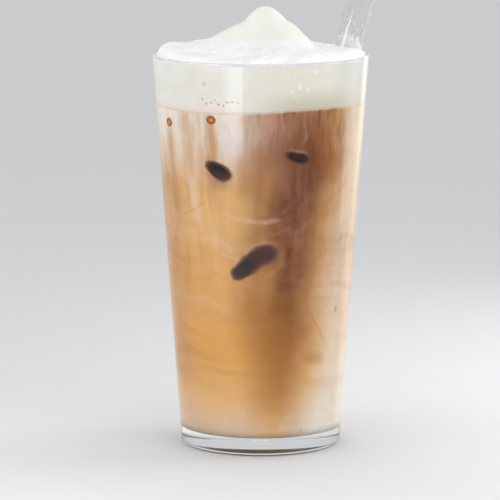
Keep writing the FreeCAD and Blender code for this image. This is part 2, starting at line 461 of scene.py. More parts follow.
def hump_over(shader, place):
    """Height in millimetres of the line between coffee and foam, over a place."""
    heading = math.radians(HUMP_HEADING)
    wall = inner_radius(COFFEE_TOP_Z)
    hump = (wall * math.sin(heading), -wall * math.cos(heading), 0.0)
    level = shader.vector("MULTIPLY", place, (1.0, 1.0, 0.0))
    off_hump = shader.vector("DISTANCE", level, hump, output="Value")
    share = shader.calc("DIVIDE", off_hump, HUMP_REACH * MM)
    inside = shader.calc("MAXIMUM", shader.calc("SUBTRACT", 1.0, shader.calc("POWER", share, 2.0)), 0.0)
    rise = shader.times(shader.calc("POWER", inside, 2.0), HUMP_HEIGHT)
    return shader.calc("ADD", rise, COFFEE_TOP_Z / MM)


def coffee_columns(shader, heading, height):
    """The broad colours: tan at the left, dark right of the middle partly by painted shade, milky at the
    right partly by painted light, tan behind, and painted shade at the far left.
    """
    columns = [shader.ramp(height, stops, COLOURS_UP_TO) for stops in (LEFT, DARK, EDGE, RIGHT)]
    left, dark, edge, right = columns
    dark_to = shader.ease(height, 84.0, 100.0, 16.0, 21.0)
    colour = shader.mix(shader.ease(heading, -24.0, dark_to), left, dark)
    milk_and_light_from = shader.calc("SUBTRACT", shader.ease(height, 42.0, 108.0, 34.0, 46.0),
                            shader.ease(height, 30.0, 8.0, 0.0, 8.0))
    past_milk_and_light = shader.calc("SUBTRACT", heading, milk_and_light_from)
    colour = shader.mix(shader.ease(past_milk_and_light, -18.0, 6.0), colour, edge)
    colour = shader.mix(shader.ease(past_milk_and_light, -3.0, 19.0), colour, right)
    # Painted shade down the far left side, in caramel, fading out high up and low down.
    colour = shader.paint(colour, CARAMEL, shader.ease(heading, -42.0, -68.0),
                          shader.ease(height, 104.0, 94.0), shader.ease(height, 14.0, 32.0), 0.65)
    behind = shader.ease(shader.calc("ABSOLUTE", heading), 95.0, 150.0)
    return shader.mix(behind, colour, shader.mix(0.30, left, dark))


def marbling(shader, place, heading, height, colour):
    """Threads and billows of milk, and darker layers, where the drink isn't stirred."""
    flowing = shader.drifted(place, 26.0, 0.020, 2.0)
    flowing = shader.drifted(flowing, 70.0, 0.007, 1.0)
    threads = shader.noise(shader.stretch(flowing, 0.85), 62.0, 1.0, 0.4)
    where = shader.ease(shader.noise(place, 42.0, 1.0), 0.42, 0.62)
    in_middle = shader.times(shader.ease(height, 36.0, 60.0), shader.ease(height, 106.0, 88.0))
    colour = shader.paint(colour, (232, 190, 148), shader.line(threads, 0.5, 0.045), where, in_middle, 0.05)
    elsewhere = shader.ease(shader.noise(shader.stretch(place, 1.4), 36.0, 1.0), 0.46, 0.64)
    colour = shader.paint(colour, (134, 78, 30), shader.line(threads, 0.57, 0.03), elsewhere, 0.07)
    finer = shader.noise(shader.stretch(flowing, 0.6), 130.0, 2.0, 0.5)
    colour = shader.paint(colour, (214, 164, 116), shader.line(finer, 0.5, 0.07), in_middle, 0.07)
    billows = shader.ease(shader.noise(flowing, 34.0, 3.0, 0.55), 0.48, 0.66)
    away = shader.ease(shader.off(heading, 18.0), 12.0, 30.0)
    colour = shader.paint(colour, (230, 184, 136), billows, in_middle, away, 0.42)
    layers = shader.noise(shader.stretch(shader.drifted(place, 30.0, 0.012), 4.5, 0.7), 48.0, 2.0)
    low = shader.times(shader.ease(height, 88.0, 64.0), shader.ease(height, 16.0, 34.0, 0.35, 1.0))
    return shader.paint(colour, (180, 112, 38), shader.ease(layers, 0.48, 0.64), low, 0.18)


def streaks(shader, place, heading, height, colour):
    """Upright streaks under the foam: fine ones in the dark part, broad pale ones at the left."""
    wavy = shader.drifted(place, 150.0, 0.0018, 2.0)
    fine = shader.noise(shader.stretch(wavy, 0.15), 560.0, 3.0, 0.6)
    in_dark = shader.ease(shader.off(heading, 24.0), 42.0, 16.0)
    high = shader.ease(height, 103.0, 116.0)
    colour = shader.paint(colour, (192, 148, 124), shader.ease(fine, 0.50, 0.68), high, in_dark, 0.50)
    colour = shader.paint(colour, (112, 66, 40), shader.ease(fine, 0.50, 0.34), high, in_dark, 0.60)
    # A mauve cast right under the foam, from the middle to the right.
    mauve = shader.noise(shader.stretch(wavy, 0.4), 110.0, 2.0)
    colour = shader.paint(colour, (196, 146, 122), shader.ease(mauve, 0.36, 0.56),
                          shader.ease(height, 109.0, 120.0), shader.ease(heading, -16.0, -6.0),
                          shader.ease(heading, 28.0, 10.0), 0.60)
    at_left = shader.ease(heading, -6.0, -17.0)
    broad = shader.noise(shader.stretch(wavy, 0.14), 230.0, 2.0, 0.5)
    colour = shader.paint(colour, (232, 210, 190), shader.ease(broad, 0.48, 0.62),
                          shader.ease(height, 94.0, 108.0), at_left, 0.50)
    warm = shader.noise(shader.stretch(wavy, 0.14), 170.0, 2.0, 0.5)
    colour = shader.paint(colour, (212, 156, 112), shader.ease(warm, 0.54, 0.68),
                          shader.ease(height, 86.0, 100.0), at_left, 0.45)
    # Long faint bands that hang down through the whole drink.
    hanging = shader.noise(shader.stretch(wavy, 0.10), 130.0, 2.0, 0.5)
    colour = shader.paint(colour, (206, 146, 82), shader.ease(hanging, 0.50, 0.66),
                          shader.ease(height, 52.0, 74.0), 0.20)
    return shader.paint(colour, (140, 82, 30), shader.ease(hanging, 0.50, 0.36),
                        shader.ease(height, 44.0, 66.0), 0.18)


# Colours of single features in the coffee: a painted reflection, the painted shade round the ice, a red speck
# and a foamy tint.
SOFTBOX_REFLECTION = (228, 218, 214)
ICE_EDGE_SHADE = (92, 52, 32)
SPECK_RED = (176, 112, 82)
FOAMY = (232, 214, 196)


def coffee_patches():
    """Soft patches in the coffee: an oval, how soft its edge is, its strength and its colour."""
    painted = [
        # The tongue of darker coffee at the far left, and the pale plume that sinks beside it.
        ((-60.0, 93.0, 2.5, 9.0, 5.0), 0.6, 0.65, CARAMEL),
        ((-43.0, 94.0, 2.2, 10.0, 12.0), 0.7, 0.55, CREAM),
        # A pale grey painted reflection of the left softbox high up left of the middle, and a broad milky
        # swirl below it.
        ((-17.0, 114.0, 3.8, 7.0, 0.0), 0.4, 0.65, SOFTBOX_REFLECTION),
        ((-15.0, 87.0, 6.0, 6.0, -10.0), 0.8, 0.50, TAN),
        # The tan darkens towards the middle, most of all high up.
        ((-1.0, 103.0, 6.5, 8.5, 0.0), 0.7, 0.50, AMBER),
        ((-2.0, 62.0, 8.0, 34.0, 0.0), 0.8, 0.25, AMBER),
        # A mauve veil over the dark part, and a cloud of milk under the middle ice cube.
        ((10.0, 104.0, 5.0, 9.0, 0.0), 0.8, 0.35, MAUVE),
        ((2.0, 61.0, 3.0, 6.5, -10.0), 0.9, 0.45, CARAMEL),
        # Brown stains low down.
        ((38.0, 35.0, 5.0, 2.2, -12.0), 0.8, 0.45, AMBER),
        ((-57.0, 35.0, 2.5, 3.5, 0.0), 0.8, 0.40, CARAMEL),
    ]
    for heading, height, half_long, half_short, _ in BUBBLES:
        painted.append(((heading, height - 8.0, 0.8 * half_long, 7.5, 0.0), 0.9, 0.65, CARAMEL))
    return painted


# The middle plume and its side branch are drawn in this many stretches.
PLUME_STEPS = 5


def plume(share):
    """A place on the plume that sinks through the middle, a share of the way down."""
    return (2.5 + 2.5 * math.cos(1.3 * math.pi * share), 102.0 - 26.0 * share)


def branch(share):
    """A place on its side branch, which sinks to the right."""
    return (3.0 + 23.0 * share, 88.0 - 12.0 * share)


def wandering(chance, heading, height):
    """The places of a short wisp that sets out from a place and bends as it goes."""
    turn = math.radians(chance.uniform(-50.0, 30.0))
    bend = math.radians(chance.uniform(-35.0, 35.0))
    places = [(heading, height)]
    for _ in range(3):
        step = chance.uniform(3.0, 6.0)
        heading += step * math.cos(turn) / ARC
        height += step * math.sin(turn)
        turn += bend
        places.append((heading, height))
    return places


def coffee_wisps():
    """Thin curved wisps: the places they pass through, half width, strength and colour."""
    shares = [step / PLUME_STEPS for step in range(PLUME_STEPS + 1)]
    drawn = [([plume(share) for share in shares], 1.5, 0.36, CARAMEL),
             ([branch(share) for share in shares], 0.9, 0.24, MAUVE)]
    # Short ones all over the front: dark and pale in turn at the left, paler than the coffee
    # in the dark part, and darker than it in the milky part.
    chance = random.Random(21)
    kinds = [(-68.0, -18.0, 10, (CARAMEL, BEIGE)), (-10.0, 22.0, 6, (CARAMEL, MAUVE)),
             (30.0, 56.0, 5, (AMBER, CARAMEL))]
    for first, last, count, tones in kinds:
        for number in range(count):
            heading = first + (last - first) * (number + chance.random()) / count
            height = chance.uniform(48.0, 98.0)
            places = wandering(chance, heading, height)
            drawn.append((places, chance.uniform(0.45, 1.1), chance.uniform(0.15, 0.38), tones[number % 2]))
    return drawn


# A wisp's ovals are this share of their stretch in half length, so that they overlap.
WISP_OVERLAP = 0.62


def ovals_along(places, half_width):
    """Thin ovals from place to place, which overlap into one line."""
    ovals = []
    for (heading, height), (next_heading, next_height) in zip(places, places[1:]):
        across = (next_heading - heading) * ARC
        up = next_height - height
        middle = ((heading + next_heading) / 2.0, (height + next_height) / 2.0)
        tilt = math.degrees(math.atan2(up, across))
        ovals.append(middle + (WISP_OVERLAP * math.hypot(across, up), half_width, tilt))
    return ovals


def wisps(shader, side_map, colour):
    for places, half_width, strength, tone in coffee_wisps():
        share = 0.0
        for oval in ovals_along(places, half_width):
            share = shader.calc("MAXIMUM", shader.spot(side_map, oval, 0.9), share)
        colour = shader.paint(colour, tone, share, strength)
    return colour


def patches(shader, side_map, colour, painted):
    for oval, soft, strength, tone in painted:
        colour = shader.paint(colour, tone, shader.spot(side_map, oval, soft), strength)
    return colour


def ice_shade_and_highlight(shader, side_map, colour):
    """Painted light round each ice cube: where it comes near the side the coffee over it darkens into the
    cube's painted shade, with a painted shadow below it and a painted highlight above it.
    """
    for ovals in ICE.values():
        heading, height, half_long, half_short, tilt = ovals[-1]
        below = (heading - 1.5, height - 2.2, half_long * 1.15, half_short * 1.3, tilt)
        above = (heading - 2.5, height + 1.7, half_long * 1.25, half_short * 0.8, tilt)
        # Painted shadow below the cube, and a painted highlight above it.
        colour = shader.paint(colour, (138, 88, 48), shader.spot(side_map, below, 0.7), 0.45)
        colour = shader.paint(colour, (222, 190, 165), shader.spot(side_map, above, 0.6), 0.35)
        # The coffee darkens into the painted shade of the cube.
        field = shader.ovals_together(side_map, ovals)
        colour = shader.paint(colour, ICE_EDGE_SHADE, shader.ease(field, 0.05, FIELD_AT_EDGE, 0.0, 0.92))
    return colour


def swaying(shader, place, heading, height):
    """At the back and the far sides the layers rise and sink round the glass."""
    sway = shader.calc("SUBTRACT", shader.noise(shader.stretch(place, 0.3), 34.0, 2.0), 0.5)
    away = shader.ease(shader.calc("ABSOLUTE", heading), 76.0, 110.0, 0.0, 60.0)
    return shader.calc("ADD", height, shader.times(sway, away))


def coffee_material():
    shader = material_shader("Milky coffee")
    place = shader.place()
    heading, height = shader.heading_and_height(shader.drifted(place, 38.0, 0.014, 3.0))
    height = swaying(shader, place, heading, height)
    wavy = shader.drifted(place, 60.0, 0.010, 3.0)
    colour = coffee_columns(shader, heading, height)
    colour = marbling(shader, place, heading, height, colour)
    heading, height = shader.heading_and_height(shader.drifted(place, 95.0, 0.0032, 3.0))
    colour = streaks(shader, place, heading, swaying(shader, place, heading, height), colour)
    side_map = shader.side_map(heading, height)
    colour = patches(shader, side_map, colour, coffee_patches())
    colour = wisps(shader, side_map, colour)
    heading, height = shader.heading_and_height(shader.drifted(place, 420.0, 0.0010, 2.0))
    side_map = shader.side_map(heading, height)
    colour = ice_shade_and_highlight(shader, side_map, colour)
    colour = patches(shader, side_map, colour, [(oval, 0.8, 0.55, SPECK_RED) for oval in SPECKS])
    below_foam = shader.calc("SUBTRACT", hump_over(shader, place), height)
    colour = shader.paint(colour, FOAMY, shader.ease(below_foam, -0.1, 0.9, 0.8, 0.0))
    mottled = shader.noise(shader.stretch(wavy, 0.55), 300.0, 4.0, 0.62)
    upper = shader.ease(height, 46.0, 74.0, 0.35, 1.0)
    colour = shader.paint(colour, (146, 88, 38), shader.ease(mottled, 0.48, 0.70), upper, 0.11)
    colour = shader.paint(colour, (228, 184, 140), shader.ease(mottled, 0.50, 0.30), upper, 0.07)
    return shader.finish(shader.surface(Base_Color=colour, Roughness=0.55, Specular_IOR_Level=0.0))


# ---- foam's looks --------------------------------------------------------------------------

BUBBLE_TAN = (190, 130, 98)
SPOT_TAN = (222, 178, 130)


def foam_spots():
    """Tan bubbles in the foam at the glass: one larger, and a row of small ones over the coffee."""
    painted = [((-32.0, 132.5, 0.9, 0.8, 0.0), 0.6, 0.60, SPOT_TAN)]
    chance = random.Random(8)
    for number in range(9):
        heading = -33.0 + 2.5 * number + chance.uniform(-0.6, 0.6)
        height = 126.0 + chance.uniform(-1.0, 1.4)
        half = chance.uniform(0.36, 0.52)
        painted.append(((heading, height, half, 0.9 * half, 0.0), 0.5, chance.uniform(0.4, 0.85), BUBBLE_TAN))
    return painted


def foam_material():
    shader = material_shader("Milk foam")
    place = shader.place()
    heading, height = shader.heading_and_height(place)
    above_coffee = shader.calc("SUBTRACT", height, hump_over(shader, place))
    # Free foam: white froth round the creamier mound.
    cloudy = shader.noise(place, 95.0, 3.0, 0.5)
    patchy = shader.ease(cloudy, 0.40, 0.62)
    froth = shader.mix(patchy, linear(235, 235, 234), linear(242, 242, 242))
    mound = shader.mix(shader.ease(cloudy, 0.42, 0.62), linear(230, 230, 223), linear(226, 226, 214))
    colour = shader.mix(shader.ease(height, 143.5, 146.5), froth, mound)
    # Foam against the glass: duller to the right and towards the coffee, partly by painted shade, peach at
    # the lower left.
    not_behind = shader.ease(heading, 150.0, 110.0)
    right = shader.times(shader.ease(heading, -12.0, 26.0), not_behind)
    wall = shader.mix(patchy, linear(235, 232, 227), linear(231, 227, 217))
    # Duller and yellower to the right: partly painted shade.
    wall = shader.paint(wall, (232, 229, 214), right, 0.75)
    # Greyer further right: painted shade.
    wall = shader.paint(wall, (213, 211, 204), shader.ease(heading, 38.0, 56.0), not_behind, 0.8)
    # Darker towards the coffee at the right: partly coffee tint, partly painted shade.
    wall = shader.paint(wall, (212, 206, 188), shader.ease(above_coffee, 8.5, 0.5), right)
    wall = shader.paint(wall, (238, 214, 194), shader.ease(above_coffee, 3.2, 0.0),
                        shader.ease(heading, 2.0, -16.0), 0.55)
    side_map = shader.side_map(heading, height)
    wall = patches(shader, side_map, wall, foam_spots())
    # Pale yellow bubbles that sit against the glass at the front right.
    off_bubble = shader.cells(shader.drifted(place, 140.0, 0.0012, 1.0), 400.0)
    some = shader.ease(shader.noise(place, 150.0, 1.0), 0.36, 0.46)
    at_right = shader.spot(side_map, (28.5, 133.0, 8.0, 4.8, 6.0), 0.45)
    bubbles = shader.ease(off_bubble, 0.24, 0.50, 1.0, 0.0)
    wall = shader.paint(wall, (248, 245, 224), bubbles, some, at_right, 0.75)
    ring = shader.times(shader.ease(off_bubble, 0.42, 0.52, 1.0, 0.0), shader.ease(off_bubble, 0.32, 0.42))
    wall = shader.paint(wall, (196, 192, 170), ring, some, at_right, 0.25)
    colour = shader.mix(shader.ease(height, 139.2, 138.6), colour, wall)
    # Fine bubbles in the froth, none on the mound, and no relief against the glass.
    bubble_pits = shader.ease(shader.cells(shader.drifted(place, 500.0, 0.0006), 760.0), 0.18, 0.50)
    large_pits = shader.ease(shader.cells(shader.drifted(place, 300.0, 0.0012), 360.0), 0.10, 0.40)
    relief = shader.times(shader.calc("ADD", bubble_pits, large_pits), shader.ease(height, 145.5, 143.0))
    relief = shader.calc("ADD", relief, shader.times(shader.noise(place, 900.0, 3.0), 0.5))
    relief = shader.times(relief, shader.ease(height, 138.6, 139.4))
    bumps = shader.bump(relief, 0.55, 0.35 * MM)
    return shader.finish(shader.surface(
        Base_Color=colour, Roughness=0.6, Specular_IOR_Level=0.25, Normal=bumps,
        Subsurface_Weight=0.35, Subsurface_Radius=(1.0, 0.92, 0.80), Subsurface_Scale=1.2 * MM))


def ice_material():
    """Ice in dark coffee: brown black, painted shade for the unlit depth of the drink seen through the clear
    ice, redder in its upper part, with a painted grey highlight low on the left cube, and blurred where it
    goes under.
    """
    shader = material_shader("Ice in coffee")
    place = shader.place()
    heading, height = shader.heading_and_height(shader.drifted(place, 320.0, 0.0009, 1.0))
    side_map = shader.side_map(heading, height)
    field = 0.0
    for ovals in ICE.values():
        field = shader.calc("ADD", shader.ovals_together(side_map, ovals), field)
    uneven = shader.noise(place, 330.0, 2.0)
    inside = shader.mix(shader.ease(uneven, 0.42, 0.62), linear(18, 3, 1), linear(54, 14, 4))
    inside = shader.paint(inside, (84, 32, 14), shader.spot(side_map, ICE["ice_middle"][-1], 0.7), 0.85)
    heading, height, half_long, half_short, tilt = ICE["ice_left"][-1]
    grey_highlight = (heading, height - 1.2, 1.3 * half_long, 0.5 * half_short, tilt)
    inside = shader.paint(inside, (96, 66, 58), shader.spot(side_map, grey_highlight, 0.8), 0.40)
    colour = shader.mix(shader.ease(field, FIELD_AT_EDGE, 0.92), linear(*ICE_EDGE_SHADE), inside)
    return shader.finish(shader.surface(Base_Color=colour, Roughness=0.5, Specular_IOR_Level=0.0))


def bubble_material():
    """Air bubbles against the glass: an amber ring round a paler middle, which is a painted highlight."""
    shader = material_shader("Bubbles in coffee")
    side_map = shader.side_map(*shader.heading_and_height(shader.place()))
    nearest = 9.0
    for oval in BUBBLES:
        nearest = shader.calc("MINIMUM", shader.off_oval(side_map, oval), nearest)
    colour = shader.mix(shader.ease(nearest, 0.15, 0.55), linear(214, 150, 86), linear(166, 92, 30))
    colour = shader.paint(colour, (222, 166, 118), shader.ease(nearest, 0.70, 1.0))
    return shader.finish(shader.surface(Base_Color=colour, Roughness=0.5, Specular_IOR_Level=0.0))


# ---- glass ---------------------------------------------------------------------------------

def make_glass(material):
    foot_inside = BASE_RADIUS - FOOT_RING_WIDTH
    heel = (BASE_RADIUS, 0.0)
    outer_rim = (RIM_RADIUS, RIM_Z)
    inner_rim = (RIM_RADIUS - WALL, RIM_Z)
    corner = (inner_radius(FLOOR_Z), FLOOR_Z)
    hollow_edge = (foot_inside - FOOT_HOLLOW, FOOT_HOLLOW)
    outline = [(0.0, FOOT_HOLLOW)]
    outline += rounded_corner(outline[0], hollow_edge, (foot_inside, 0.0), 0.6 * MM, 4)
    outline += rounded_corner(hollow_edge, (foot_inside, 0.0), heel, 0.6 * MM, 4)
    outline += rounded_corner((foot_inside, 0.0), heel, outer_rim, HEEL_ROUNDING, 10)
    outline += rounded_corner(heel, outer_rim, inner_rim, LIP_ROUNDING, 8)
    outline += rounded_corner(outer_rim, inner_rim, corner, LIP_ROUNDING, 8)
    outline += rounded_corner(inner_rim, corner, (0.0, FLOOR_Z), FLOOR_ROUNDING, 10)
    outline.append((0.0, FLOOR_Z))
    return ride(turned("glass_tumbler", outline, 256), material, "clear_glass", "glass")


# ---- straw ---------------------------------------------------------------------------------

def make_straw(material):
    outline = []
    bore = STRAW_RADIUS - STRAW_WALL
    corners = [(bore, 0.0), (STRAW_RADIUS, 0.0), (STRAW_RADIUS, STRAW_LENGTH), (bore, STRAW_LENGTH)]
    for index, corner in enumerate(corners):
        outline += rounded_corner(corners[index - 1], corner, corners[(index + 1) % 4], STRAW_ROUNDING, 6)
    tube = turned("glass_straw", outline, 96, closed=True)
    lean = Vector((0.0, 0.0, 1.0)).rotation_difference(STRAW_WAY).to_matrix().to_4x4()
    tube.data.transform(Matrix.Translation(STRAW_LOW) @ lean)
    return ride(tube, material, "straw_glass", "straw")


# ---- drink ---------------------------------------------------------------------------------

# The spooned foam in the middle: a broad mound that runs out further to the left, and a cap.
# Each is a dome: its middle across and back, its reach left, right, to the front and to the
# back, its height and how boxy its side is. All in millimetres.
MOUND = {"middle": (2.5, 2.0), "reach": (24.0, 17.5, 15.5, 16.0), "height": 10.4, "side": 1.1, "foot": 0.12}
CAP = {"middle": (1.5, 1.5), "reach": (7.6, 7.6, 7.2, 7.2), "height": 4.3, "side": 1.0, "foot": 0.15}

# Broad swells of the foam between mound and rim: middle across, middle back, reach and height.
FOAM_SWELLS = [
    (-30.0, 0.0, 19.0, 1.9),
    (-17.0, 20.0, 13.0, 1.0),
    (10.5, 0.5, 5.5, 1.2),
    (12.0, -26.0, 18.0, 0.8),
    (-10.0, -27.0, 15.0, -0.5),
    (24.0, 22.0, 16.0, -0.6),
    (19.0, -14.0, 9.0, 0.5),
]
FOAM_RISE = 1.7
FOAM_WALL_DROP = 1.0
FOAM_SHOULDER = 1.3
HUMP_HEADING = 35.0
HUMP_REACH = 38.0
HUMP_HEIGHT = 1.5


def swell(distance, reach):
    """A soft bump: one in the middle, and level where it ends at its reach."""
    if distance >= reach:
        return 0.0
    return (1.0 - (distance / reach) ** 2) ** 2


def dome(form, across, back):
    """Height of a dome over a point; past its reach only its soft foot is left."""
    left, right, front, rear = form["reach"]
    off_across = across - form["middle"][0]
    off_back = back - form["middle"][1]
    reach_across = right if off_across > 0.0 else left
    reach_back = rear if off_back > 0.0 else front
    fall = 1.0 - (off_across / reach_across) ** 2 - (off_back / reach_back) ** 2
    share = (fall + math.hypot(fall, form["foot"])) / 2.0
    return form["height"] * share ** form["side"]


def froth(across, back, mound):
    """Lumps of the free foam in millimetres: rough froth round the mound, soft waves on it."""
    spot = Vector((across, back, 3.0))
    lumps = 0.55 * noise.noise(spot / 4.6) + 0.30 * noise.noise(spot / 2.1) + 0.13 * noise.noise(spot / 0.95)
    waves = 0.30 * noise.noise(spot / 7.0)
    rough = 1.0 - smooth(mound, 0.7, 3.2)
    return waves + (lumps - waves) * rough


def foam_top(across, back):
    """Height in metres of the foam's free surface over a point given in millimetres."""
    height = FOAM_RISE
    for middle_across, middle_back, reach, rise in FOAM_SWELLS:
        height += rise * swell(math.hypot(across - middle_across, back - middle_back), reach)
    mound = dome(MOUND, across, back) + dome(CAP, across, back)
    height += mound + froth(across, back, mound)
    from_wall = (RIM_RADIUS - WALL) / MM - math.hypot(across, back)
    shoulder = 1.0 - math.exp(-max(from_wall, 0.0) / FOAM_SHOULDER)
    return RIM_Z + (-FOAM_WALL_DROP + (height + FOAM_WALL_DROP) * shoulder) * MM


def foam_underside(across, back):
    """Height in metres of the line between coffee and foam."""
    heading = math.radians(HUMP_HEADING)
    wall = inner_radius(COFFEE_TOP_Z) / MM
    off_hump = math.hypot(across - wall * math.sin(heading), back + wall * math.cos(heading))
    return COFFEE_TOP_Z + HUMP_HEIGHT * swell(off_hump, HUMP_REACH) * MM


FOAM_AROUND = 420
FOAM_RINGS = 150
RINGS_CROWD_OUTWARDS = 1.25


FOAM_SIDE_RINGS = 24
UNDERSIDE_INSET = 0.93
UNDERSIDE_DROP = 2.0 * MM


def foam_starts(turn):
    """Height in metres of the line between coffee and foam at the wall."""
    wall = inner_radius(COFFEE_TOP_Z) / MM
    return foam_underside(wall * math.sin(turn), -wall * math.cos(turn))


def make_foam(material):
    """The foam: its free top, its side just inside the wall, and a hidden underside."""
    points = [(0.0, 0.0, foam_top(0.0, 0.0))]
    rings = []
    for ring in range(1, FOAM_RINGS + 1):
        radius = (RIM_RADIUS - WALL) * (1.0 - (1.0 - ring / FOAM_RINGS) ** RINGS_CROWD_OUTWARDS)

        def on_top(turn):
            x, y, _ = round_axis(radius, turn, 0.0)
            return (x, y, foam_top(x / MM, y / MM))

        add_ring(points, rings, FOAM_AROUND, on_top)
    high = RIM_Z - FOAM_WALL_DROP * MM
    for ring in range(FOAM_SIDE_RINGS + 1):

        def on_side(turn):
            z = high + (foam_starts(turn) - high) * ring / FOAM_SIDE_RINGS
            return round_axis(inner_radius(z) + SEAT, turn, z)

        add_ring(points, rings, FOAM_AROUND, on_side)
    edge = [points[index] for index in rings[-1]]
    rings.append(range(len(points), len(points) + FOAM_AROUND))
    points += [(x * UNDERSIDE_INSET, y * UNDERSIDE_INSET, z - UNDERSIDE_DROP) for x, y, z in edge]
    points.append((0.0, 0.0, COFFEE_TOP_Z - UNDERSIDE_DROP))
    faces = skin(rings, 0, len(points) - 1, upwards=False)
    return ride(mesh_piece("foam_layer", points, faces), material, "milk_foam", "milk_foam")


COFFEE_AROUND = 400
COFFEE_RINGS = 230


def make_coffee(material):
    """The coffee: its side just inside the wall, its foot just inside the floor."""
    rim = (inner_radius(RIM_Z) + SEAT, RIM_Z)
    floor = FLOOR_Z - SEAT
    foot = rounded_corner(rim, (inner_radius(FLOOR_Z) + SEAT, floor), (0.0, floor), FLOOR_ROUNDING, 8)
    points = [(0.0, 0.0, floor)]
    rings = []
    for radius, z in reversed(foot):
        add_ring(points, rings, COFFEE_AROUND, lambda turn: round_axis(radius, turn, z))
    start_z = foot[0][1]
    for ring in range(1, COFFEE_RINGS + 1):

        def on_side(turn):
            z = start_z + (foam_starts(turn) - start_z) * ring / COFFEE_RINGS
            return round_axis(inner_radius(z) + SEAT, turn, z)

        add_ring(points, rings, COFFEE_AROUND, on_side)
    points.append((0.0, 0.0, COFFEE_TOP_Z))
    faces = skin(rings, 0, len(points) - 1)
    return ride(mesh_piece("coffee_body", points, faces), material, "milky_coffee", "coffee")


# ---- ice and bubbles -----------------------------------------------------------------------

ICE_DEPTH = 9.0 * MM
ICE_GRID = 56
ICE_SUNK = 1.6 * MM
ICE_EDGE_SUNK = 3.0 * MM


def oval_field(ovals, heading, height):
    """The same soft field as in the shaders, at a place on the side."""
    total = 0.0
    for middle, middle_height, half_long, half_short, tilt in ovals:
        across = (heading - middle) * ARC
        up = height - middle_height
        turn = math.radians(tilt)
        along = (across * math.cos(turn) + up * math.sin(turn)) / half_long
        beside = (up * math.cos(turn) - across * math.sin(turn)) / half_short
        near = 1.0 - (along ** 2 + beside ** 2) / OVAL_FIELD ** 2
        total += max(near, 0.0) ** 2
    return total


def make_ice(ovals, name, material):
    """One ice cube: its front lies against the glass within its ovals, and the rest is sunk."""
    headings = [oval[0] for oval in ovals]
    heights = [oval[1] for oval in ovals]
    reach = 1.5 * max(oval[2] for oval in ovals)
    left, right = min(headings) - reach / ARC, max(headings) + reach / ARC
    low, high = min(heights) - reach, max(heights) + reach
    points = []
    for layer in range(2):
        for row in range(ICE_GRID + 1):
            height = low + (high - low) * row / ICE_GRID
            for column in range(ICE_GRID + 1):
                heading = left + (right - left) * column / ICE_GRID
                field = oval_field(ovals, heading, height)
                proud = -ICE_DEPTH
                if layer == 0:
                    proud = -ICE_SUNK + (ICE_SUNK + CONTACT) * smooth(field, 0.0, 1.35 * FIELD_AT_EDGE)
                    edge = max(abs(2.0 * row / ICE_GRID - 1.0), abs(2.0 * column / ICE_GRID - 1.0))
                    proud -= ICE_EDGE_SUNK * smooth(edge, 0.8, 1.0)
                points.append(on_wall(heading, height * MM, proud))
    side = ICE_GRID + 1
    back = side * side
    faces = []
    for row in range(ICE_GRID):
        for column in range(ICE_GRID):
            corner = row * side + column
            faces.append((corner, corner + 1, corner + side + 1, corner + side))
            faces.append((back + corner, back + corner + side, back + corner + side + 1, back + corner + 1))
    for step in range(ICE_GRID):
        bottom, top = step, ICE_GRID * side + step
        faces.append((bottom + 1, bottom, back + bottom, back + bottom + 1))
        faces.append((top, top + 1, back + top + 1, back + top))
        start, end = step * side, step * side + ICE_GRID
        faces.append((start, start + side, back + start + side, back + start))
        faces.append((end + side, end, back + end, back + end + side))
    return ride(mesh_piece(name, points, faces), material, "milky_coffee")


BUBBLE_RINGS = 8
BUBBLE_AROUND = 28
BUBBLE_REACH = 1.06
BUBBLE_FLAT_TO = 0.8
BUBBLE_DEPTH = 1.0 * MM


def make_bubbles(material):
    """Flat domes of air against the glass, one mesh for all."""
    points = []
    faces = []
    for heading, height, half_long, half_short, _ in BUBBLES:
        top = len(points)
        points.append(on_wall(heading, height * MM, CONTACT))
        rings = []
        for ring in range(1, BUBBLE_RINGS + 1):
            out = BUBBLE_REACH * ring / BUBBLE_RINGS
            past = max(out - BUBBLE_FLAT_TO, 0.0) / (BUBBLE_REACH - BUBBLE_FLAT_TO)
            rise = CONTACT - 0.5 * MM * past ** 1.5

            def on_dome(turn):
                place = heading + half_long * out * math.cos(turn) / ARC
                return on_wall(place, (height + half_short * out * math.sin(turn)) * MM, rise)

            add_ring(points, rings, BUBBLE_AROUND, on_dome)
        points.append(on_wall(heading, height * MM, -BUBBLE_DEPTH))
        faces += skin(rings, top, len(points) - 1, upwards=False)
    return ride(mesh_piece("wall_bubbles", points, faces), material, "milky_coffee")


# ---- foam in the straw ---------------------------------------------------------------------

PLUG_AROUND = 96
PLUG_RISE = STRAW_FOAM_RISE - 1.6 * MM


def in_straw(turn, radius, along):
    """A point in the straw: round its axis, off its axis and along it."""
    side = Vector((0.0, 1.0, 0.0)).cross(STRAW_WAY).normalized()
    back = STRAW_WAY.cross(side)
    return STRAW_LOW + STRAW_WAY * along + (side * math.cos(turn) + back * math.sin(turn)) * radius


def along_to(z):
    return (z - STRAW_LOW.z) / STRAW_WAY.z


PLUG_ROWS = 40
PLUG_CROWN_RINGS = 8
PLUG_DIP = 1.2 * MM


